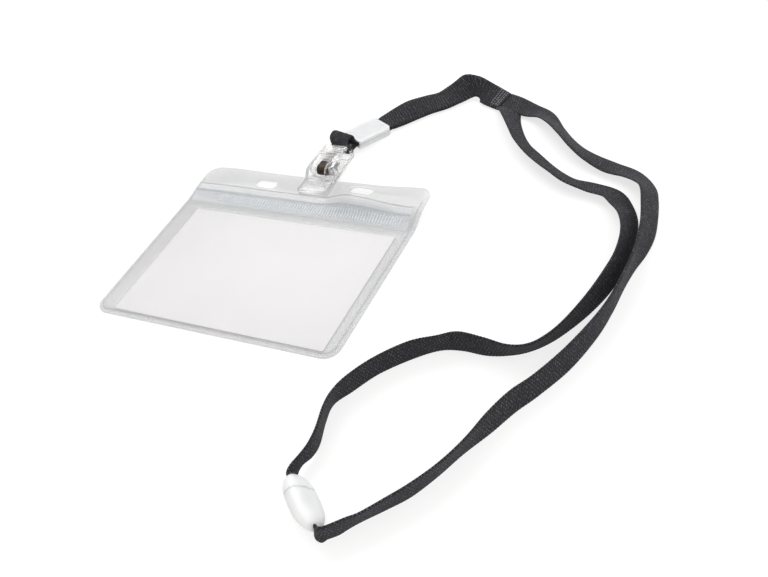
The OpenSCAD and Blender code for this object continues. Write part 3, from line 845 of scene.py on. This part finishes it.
def weld_bead(name, inset, radius):
    """A thin raised line that runs down one side, along the bottom and up the other side."""
    half = POUCH_W / 2 - inset
    bottom = POUCH_BOTTOM + inset
    r = CORNER_R - inset
    path = [(-half, y) for y in np.linspace(POUCH_TOP - 9, bottom + r, 50)]
    path += [(-half + r - r * math.cos(a), bottom + r - r * math.sin(a))
             for a in np.linspace(0.15, math.pi / 2, 9)]
    path += [(x, bottom) for x in np.linspace(-half + r, half - r, 60)[1:]]
    path += [(half - r + r * math.sin(a), bottom + r - r * math.cos(a))
             for a in np.linspace(0.15, math.pi / 2, 9)]
    path += [(half, y) for y in np.linspace(bottom + r, POUCH_TOP - 9, 50)[1:]]
    line = np.array([(x, y, front_low(x, y) + FILM_T * (y <= LIP_Y)) for x, y in path])
    t = headings(line)
    side = np.cross(t, (0, 0, 1.0))
    side /= np.linalg.norm(side, axis=1)[:, None]
    sides = 8
    points = []
    for i, p in enumerate(line):
        for k in range(sides):
            a = 2 * math.pi * k / sides
            points.append(p + side[i] * radius * 1.5 * math.cos(a)
                          + np.array((0, 0, 1.0)) * radius * math.sin(a))
    return piece(name, points, tube_faces(len(line), sides), WELD, "clear_vinyl", 80)


def zip_strip(name, low, high):
    """A zip flange, from end to end of the pouch."""
    xs = np.linspace(-ZIP_LEN / 2, ZIP_LEN / 2, 121)
    ys = np.linspace(ZIP_Y0, ZIP_Y1, 9)
    points = [(x, y, high(x, y)) for y in ys for x in xs]
    points += [(x, y, low(x, y)) for y in ys for x in xs]
    return piece(name, points, sheet_faces(len(ys), len(xs)), ZIP, "zip_plastic", 60)


TICKS = (-38, 50)         # where the row of ticks starts and stops, across the pouch
TICK_PITCH = 1.3
TICK_Y = (21.3, 25.2)     # from where to where a tick reaches


def front_top(x, y):
    return float(front_low(x, y)) + FILM_T


def zip_tick(x):
    """One of the short raised ribs pressed across the zip's face."""
    ys = np.linspace(*TICK_Y, 5)
    low = [(x + dx, y, front_top(x, y) - 0.1) for y in ys for dx in (-0.22, 0.22)]
    high = [(x + dx, y, front_top(x, y) + 0.12) for y in ys for dx in (-0.12, 0.12)]
    points = [p for k in range(0, 10, 2) for p in (low[k], low[k + 1], high[k + 1], high[k])]
    return piece("zip_tick", points, tube_faces(5, 4), ZIP_TICK, "zip_plastic")


def film_line(name, y, radius, material, slot):
    """A low rounded line along the front film, from side to side."""
    half = POUCH_W / 2 - 3.2
    xs = np.linspace(-half, half, 110)
    turns = [2 * math.pi * k / 8 for k in range(8)]
    points = [(x, y + radius * 1.3 * math.cos(a), front_top(x, y) + radius * 0.8 * math.sin(a))
              for x in xs for a in turns]
    return piece(name, points, tube_faces(len(xs), 8), material, slot, 80)


def zip_wall(name, y, thick, z0, z1):
    """A long thin wall along the zip, between two heights over the back film."""
    xs = np.linspace(-ZIP_LEN / 2, ZIP_LEN / 2, 90)
    points = [(x, yy, float(back_top(x, yy)) + z) for x in xs
              for yy, z in ((y - thick / 2, z0), (y + thick / 2, z0),
                            (y + thick / 2, z1), (y - thick / 2, z1))]
    return piece(name, points, tube_faces(len(xs), 4), ZIP, "zip_plastic", 60)


def make_pouch():
    back = slab("back_film_sheet", POUCH_BOTTOM, POUCH_TOP, base_z, back_top, BACK_VINYL,
                "clear_vinyl")
    cutters = [slot_cutter(SLOT_MID + x) for x in (-SLOT_PITCH / 2, 0, SLOT_PITCH / 2)]
    cut_or_add(back, cutters, "DIFFERENCE")
    soften(back, 60)
    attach(back, "pouch")
    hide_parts("back_film")

    front = slab("front_film_sheet", POUCH_BOTTOM, LIP_Y, front_low, front_top, FRONT_VINYL,
                 "clear_vinyl")
    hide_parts("front_film")
    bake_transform(front)

    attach(weld_bead("weld_bead", 1.7, 0.13), "pouch")

    groove = [zip_strip("zip_groove_flange", back_top, lambda x, y: back_top(x, y) + 0.3)]
    for y in (RIB_Y - 0.9, RIB_Y + 0.9):
        groove.append(zip_wall("zip_groove_wall", y, 0.5, 0.25, 1.1))
    lower = join("zip_groove_profile", groove)
    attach(lower, "pouch")
    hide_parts("zip_groove_strip")

    top = ZIP_GAP - 0.03
    upper = [zip_strip("zip_rib_flange", lambda x, y: back_top(x, y) + top - 0.32,
                       lambda x, y: back_top(x, y) + top - 0.05),
             zip_wall("zip_rib_wall", RIB_Y, 0.7, 0.45, top - 0.3)]
    lip = join("zip_rib_profile", upper)
    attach(lip, "zip_lip")
    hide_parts("zip_rib_strip")

    ticks = [zip_tick(x) for x in np.arange(TICKS[0], TICKS[1], TICK_PITCH)]
    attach(join("zip_grip_ticks", ticks), "zip_lip")
    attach(film_line("zip_profile_line", RIB_Y + 0.6, 0.36, ZIP_LINE, "zip_plastic"), "zip_lip")
    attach(film_line("lip_edge_line", LIP_Y - 0.25, 0.24, WELD, "clear_vinyl"), "zip_lip")

    low, high = (np.array(corner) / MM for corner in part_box("insert_card"))
    card = block(low + (CARD_LEFT, 0, 0), high + (CARD_RIGHT, 0, 0), CARD, "card_stock",
                 "white_card")
    bevel(card, 0.08, 2)
    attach(card, "card")
    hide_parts("insert_card")


# ---- Clip -----------------------------------------------------------------------------

CLIP_X = 2.0
CLIP_W = 13.4
JAW_Y = 34.3
JAW_T = 1.45
PIVOT = (47.5, 4.3)
BAR = (64.8, 3.6)
TAIL_Y = 61.4
LEVER_T = 1.35
UPPER_FACE = 1.95
EAR_R = 2.3
SPRING_W = 5.0
SPRING_R = 2.2      # of its turn round the pin
PIN_R = 0.88
BORE_R = 0.95
EAR_T = 1.1
RAIL_T = 1.4        # of the lower arm's two sides, which hold the bar
WINDOW_HALF = 3.0
SLIM = 0.4          # how much of the width beside the window goes, towards the strap


def slim(obj, start, end, above=-1.0):
    """Narrows the clip's sides towards the strap, and leaves its window as wide as it is."""
    for vert in obj.data.vertices:
        x, y, z = vert.co / MM
        beside = abs(x - CLIP_X) - WINDOW_HALF
        if beside > 0 and z > above:
            less = SLIM * float(smooth_share(y, start, end)) * beside
            vert.co.x -= math.copysign(less, x - CLIP_X) * MM


def side_wall(outline, outer, inward):
    """A side outline pulled inward from an outer face. inward is signed, in millimetres."""
    return prism(outline, *sorted((outer, outer - inward)))


def pin_bore(reach):
    """A bore for the pin, reaching so far past the clip's middle on both sides."""
    return prism(arc(PIVOT, BORE_R, 0, 360, 24)[:-1], CLIP_X - reach, CLIP_X + reach)


def jaw_grooves(face, into):
    """Small grooves across a jaw's face. into is 1 for upward and -1 for downward."""
    reach = CLIP_W / 2 + 1
    return [prism([(y - 0.22, face - 0.1 * into), (y + 0.22, face - 0.1 * into),
                   (y, face + 0.25 * into)], CLIP_X - reach, CLIP_X + reach)
            for y in np.arange(JAW_Y + 1, JAW_Y + 8, 0.9)]


def lever_shape():
    y, z = PIVOT
    end = TAIL_Y - 0.7
    under = [(JAW_Y, UPPER_FACE), (y - 4, UPPER_FACE), (y - 3.1, z + 0.3), (y - 2.6, z + 1.5),
             (y - 1.6, z + 2.4), (y - 0.2, z + 2.7), (end, z + 2.55)]
    upper = [(end, z + 2.55 + 0.8), (end - 5, z + 2.6 + LEVER_T), (y - 0.4, z + 2.75 + LEVER_T),
             (y - 2.4, z + 2.45 + LEVER_T), (y - 3.7, z + 1.7 + LEVER_T),
             (y - 4.6, z + 0.4 + LEVER_T), (y - 6, UPPER_FACE + LEVER_T + 0.2),
             (JAW_Y + 1.6, UPPER_FACE + LEVER_T), (JAW_Y + 1.3, UPPER_FACE + LEVER_T + 0.45),
             (JAW_Y, UPPER_FACE + LEVER_T + 0.35)]
    return under + upper


def make_lever():
    half = CLIP_W / 2
    y, z = PIVOT
    lever = prism(lever_shape(), CLIP_X - half, CLIP_X + half, name="clip_lever_body")
    parts = []
    ear = arc(PIVOT, EAR_R, 180, 360, 14) + [(y + EAR_R, z + 3.1), (y - EAR_R, z + 2.6)]
    for side in (-1, 1):
        outer = CLIP_X + side * half
        parts.append(side_wall(ear, outer, side * EAR_T))
        wall = [(y + 1.5, z + 2.6), (TAIL_Y - 1, z + 2.6), (TAIL_Y - 1.5, z + 1.9),
                (y + 2.1, z + 0.6)]
        parts.append(side_wall(wall, outer, side * 0.9))
    for i in range(6):
        at = (TAIL_Y - 1.6 - 1.3 * i, z + 3.1 + min(0.75, 0.13 * (i + 0.5)))
        grip = arc(at, 0.42, 0, 360, 12)[:-1]
        parts.append(prism(grip, CLIP_X - half + 0.8, CLIP_X + half - 0.8))
    cut_or_add(lever, parts, "UNION")
    cuts = [block((CLIP_X - 2.7, y - 5, z - 0.4), (CLIP_X + 2.7, y + 2.6, z + 8))]
    cuts += [pin_bore(half + 1)] + jaw_grooves(UPPER_FACE, 1)
    cut_or_add(lever, cuts, "DIFFERENCE")
    bevel(lever, 0.16, 2, 50)
    slim(lever, PIVOT[0] - 6, PIVOT[0] - 1)
    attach(lever, "clip_lever")
    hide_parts("clip_upper_arm")


def make_lower_arm():
    half = CLIP_W / 2
    y = PIVOT[0]
    plate_end = BAR[0] - 5.5
    plate = [(JAW_Y, 0.1), (JAW_Y + 0.6, 0.02), (plate_end, 0.02), (plate_end, JAW_T),
             (JAW_Y, JAW_T)]
    arm = prism(plate, CLIP_X - half, CLIP_X + half, name="clip_lower_body")
    parts = []
    ear = arc(PIVOT, EAR_R, 0, 180, 16) + [(y - EAR_R, JAW_T - 0.3), (y + EAR_R, JAW_T - 0.3)]
    for side in (-1, 1):
        outer = CLIP_X + side * (half - RAIL_T)
        parts.append(side_wall(ear, outer, side * EAR_T))
        edge = CLIP_X + side * half
        rail = arc(BAR, 2.0, -60, 160, 16)
        rail += [(BAR[0] - 2.4, JAW_T), (plate_end - 2, JAW_T), (plate_end - 2, 0.02),
                 (BAR[0] - 1.5, 0.02)]
        parts.append(side_wall(rail, edge, side * RAIL_T))
    parts.append(rod((CLIP_X - half + 0.7, *BAR), (CLIP_X + half - 0.7, *BAR), 1.3, 24))
    for i in range(5):
        at = (plate_end - 1.2 - 1.5 * i, 0.35)
        grip = arc(at, 0.33, 0, 360, 10)[:-1]
        parts.append(prism(grip, CLIP_X - half + 1.2, CLIP_X + half - 1.2))
    cut_or_add(arm, parts, "UNION")
    cut_or_add(arm, [pin_bore(half)] + jaw_grooves(JAW_T, -1), "DIFFERENCE")
    bevel(arm, 0.14, 2, 50)
    slim(arm, PIVOT[0] - 6, PIVOT[0] - 5, above=JAW_T + 0.1)
    slim(arm, PIVOT[0] + 4, PIVOT[0] + 11)
    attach(arm, "clip")
    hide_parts("clip_lower_arm")


def make_spring():
    """A strip bent round the pin, with one leg down on the plate and one up under the lever."""
    y, z = PIVOT
    line = [(y + 8.3, JAW_T + 0.32), (y + 4, JAW_T + 0.45)]
    line += arc(PIVOT, SPRING_R, 285, 75, 22)
    line += [(y + 4, z + 2.15), (y + 8.3, z + 2.1)]
    run, _ = smooth_line([(a, b, 0) for a, b in line], 0.25)
    t = headings(run)
    half_t = 0.19
    outline = [(p[0] - v[1] * half_t, p[1] + v[0] * half_t) for p, v in zip(run, t)]
    outline += [(p[0] + v[1] * half_t, p[1] - v[0] * half_t) for p, v in zip(run[::-1], t[::-1])]
    n = len(outline)
    m = n // 2
    points = [(x, a, b) for x in (CLIP_X - SPRING_W / 2, CLIP_X + SPRING_W / 2) for a, b in outline]
    faces = []
    for i in range(m - 1):
        faces.append((i, i + 1, n - 2 - i, n - 1 - i))
        faces.append((n + i, 2 * n - 1 - i, 2 * n - 2 - i, n + i + 1))
    faces += [(i, n + i, n + (i + 1) % n, (i + 1) % n) for i in range(n)]
    spring = piece("bent_spring_strip", points, faces, SPRING, "dark_spring", 50)
    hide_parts("clip_spring")
    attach(spring, "clip")
    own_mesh(spring)


def make_pin():
    half = WINDOW_HALF + (CLIP_W / 2 - WINDOW_HALF) * (1 - SLIM)
    pin = rod((CLIP_X - half + 0.35, *PIVOT), (CLIP_X + half - 0.35, *PIVOT), PIN_R, 24, STEEL,
              "steel_pin", "pivot_pin")
    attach(pin, "clip")
    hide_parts("clip_pin")


# ---- Crimp and the strap's turn round the bar -----------------------------------------


def in_crimp(points):
    """From the crimp's own axes to the shared frame, in millimetres."""
    turn = (Matrix.Rotation(math.radians(CRIMP_YAW), 3, "Z")
            @ Matrix.Rotation(math.radians(CRIMP_PITCH), 3, "Y"))
    return np.array([np.array(turn @ Vector(p)) for p in points]) + crimp_mid


def crimp_shell(name, side, node):
    length, width, height = CRIMP_SIZE
    low_z, high_z = sorted((side * 0.02, side * height / 2))
    shell = block((-length / 2, -width / 2, low_z), (length / 2, width / 2, high_z), CRIMP,
                  "milky_plastic", name)
    bm = bmesh.new()
    bm.from_mesh(shell.data)
    upright = [e for e in bm.edges
               if abs(e.verts[0].co.x - e.verts[1].co.x) < 1e-6
               and abs(e.verts[0].co.y - e.verts[1].co.y) < 1e-6]
    bmesh.ops.bevel(bm, geom=upright, offset=1.5 * MM, segments=6, affect="EDGES", profile=0.5)
    bm.to_mesh(shell.data)
    bm.free()
    room = block((-length, -STRAP_W / 2 - 0.3, -1.1), (length, STRAP_W / 2 + 0.3, 1.1), CRIMP,
                 "milky_plastic")
    cut_or_add(shell, [room], "DIFFERENCE")
    groove = [block((x - 0.25, -width / 2 + 2, side * (height / 2 - 0.18)),
                    (x + 0.25, width / 2 - 2, side * (height / 2 + 0.5))) for x in (-6.6, 6.6)]
    cut_or_add(shell, groove, "DIFFERENCE")
    bevel(shell, 0.45, 4, 50)
    shell.data.transform(Matrix.Rotation(math.radians(CRIMP_PITCH), 4, "Y"))
    place(shell, crimp_mid, CRIMP_YAW)
    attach(shell, "strap")
    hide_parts(node)


def make_turn():
    """The strap that comes out of the crimp, goes round the clip's bar and back."""
    half = CRIMP_SIZE[0] / 2
    out = in_crimp([(0, 0, 0.55), (-half, 0, 0.6)])
    back = in_crimp([(-half, 0, -0.6), (0, 0, -0.55)])
    slack = [(CLIP_X - 0.4, 69.0, 7.8), (CLIP_X - 1.2, 66.7, 7.9), (CLIP_X - 1.1, 64.7, 7.1)]
    round_bar = [(CLIP_X, a, b) for a, b in arc(BAR, 2.3, 150, 290, 7)]
    ring = np.array(slack + round_bar)
    side = in_crimp([(0, -1, 0)])[0] - crimp_mid
    centres = np.vstack([out, ring, back])
    tips = [(1.0, -0.1, -0.16)] * 2 + [(1.0, 0, -0.12)] + [(1.0, 0, 0)] * len(round_bar)
    sides = np.vstack([side, side, tips, side, side])
    widths = [9.4] * 4 + [8.8] + [7.6] * len(round_bar) + [9.2] * 2
    stations = np.hstack([centres, sides, np.array(widths)[:, None]])
    line, marks = smooth_line(stations, 0.3)
    across = line[:, 3:6] / np.linalg.norm(line[:, 3:6], axis=1)[:, None]
    turn = band("clip_turn_band", line[:, :3], across, line[:, 6], dotted, marks)
    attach(turn, "strap")
    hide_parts("clip_strap_loop")


# ---- Floor and light ------------------------------------------------------------------

FLOOR_HALF = 6.0
FLOOR_BOUNCE = (0.85, 0.85, 0.85)     # the floor's colour for light that bounces off it
FLOOR_GLOW = 0.72                     # what it gives off for the camera, shaded or not
FLOOR_SHADE = (0.34, 0.34, 0.335)     # what the lamps add, so how deep a shadow looks
WORLD_FILL = 0.69
LAMP_TARGET = (0.05, 0.0, 0.0)


def camera_or_mirror(nodes, links):
    """1 for what the camera sees, straight or through gloss and clear plastic."""
    path = nodes.new("ShaderNodeLightPath")
    total = path.outputs["Is Camera Ray"]
    for name in ("Is Glossy Ray", "Is Transmission Ray"):
        total = combined(nodes, links, "MAXIMUM", total, path.outputs[name])
    return total


def make_floor():
    mat = bpy.data.materials.new("pale_floor")
    mat.use_nodes = True
    nodes, links = mat.node_tree.nodes, mat.node_tree.links
    nodes.clear()
    out = nodes.new("ShaderNodeOutputMaterial")
    mix = nodes.new("ShaderNodeMixShader")
    plain = nodes.new("ShaderNodeBsdfDiffuse")
    plain.inputs["Color"].default_value = (*FLOOR_BOUNCE, 1)
    shown = nodes.new("ShaderNodeAddShader")
    glow = nodes.new("ShaderNodeEmission")
    glow.inputs["Strength"].default_value = FLOOR_GLOW
    shade = nodes.new("ShaderNodeBsdfDiffuse")
    shade.inputs["Color"].default_value = (*FLOOR_SHADE, 1)
    links.new(glow.outputs[0], shown.inputs[0])
    links.new(shade.outputs[0], shown.inputs[1])
    links.new(camera_or_mirror(nodes, links), mix.inputs[0])
    links.new(plain.outputs[0], mix.inputs[1])
    links.new(shown.outputs[0], mix.inputs[2])
    links.new(mix.outputs[0], out.inputs[0])
    mesh = bpy.data.meshes.new("floor")
    corners = [(-FLOOR_HALF, -FLOOR_HALF, 0), (FLOOR_HALF, -FLOOR_HALF, 0),
               (FLOOR_HALF, FLOOR_HALF, 0), (-FLOOR_HALF, FLOOR_HALF, 0)]
    mesh.from_pydata(corners, [], [(0, 1, 2, 3)])
    mesh.materials.append(mat)
    floor = added("floor", mesh)
    floor.location.z = -0.00003     # just under the piece, so that their faces don't meet


def make_world():
    world = bpy.data.worlds.new("studio")
    bpy.context.scene.world = world
    world.use_nodes = True
    nodes, links = world.node_tree.nodes, world.node_tree.links
    nodes.clear()
    out = nodes.new("ShaderNodeOutputWorld")
    mix = nodes.new("ShaderNodeMixShader")
    fill = nodes.new("ShaderNodeBackground")
    fill.inputs["Strength"].default_value = WORLD_FILL
    white = nodes.new("ShaderNodeBackground")
    white.inputs["Color"].default_value = (1, 1, 1, 1)
    white.inputs["Strength"].default_value = 1.0
    links.new(camera_or_mirror(nodes, links), mix.inputs[0])
    links.new(fill.outputs[0], mix.inputs[1])
    links.new(white.outputs[0], mix.inputs[2])
    links.new(mix.outputs[0], out.inputs[0])


def soft_box(name, at, size, watts):
    data = bpy.data.lights.new(name, "AREA")
    data.shape = "SQUARE"
    data.size = size
    data.energy = watts
    lamp = added(name, data)
    lamp.location = at
    lamp.rotation_mode = "QUATERNION"
    lamp.rotation_quaternion = (Vector(LAMP_TARGET) - Vector(at)).to_track_quat("-Z", "Y")


make_camera()
make_world()
make_floor()
soft_box("key", (-0.35, 0.45, 0.8), 0.7, 4.6)
soft_box("fill", (0.7, -0.2, 0.7), 0.8, 3.8)
make_straps()
make_pouch()
make_lever()
make_lower_arm()
make_spring()
make_pin()
crimp_shell("crimp_upper_half", 1, "crimp_top_shell")
crimp_shell("crimp_lower_half", -1, "crimp_bottom_shell")
make_turn()

bpy.context.scene.view_settings.view_transform = "Standard"
bpy.context.scene.cycles.transparent_max_bounces = 40     # the zip is many thin clear layers
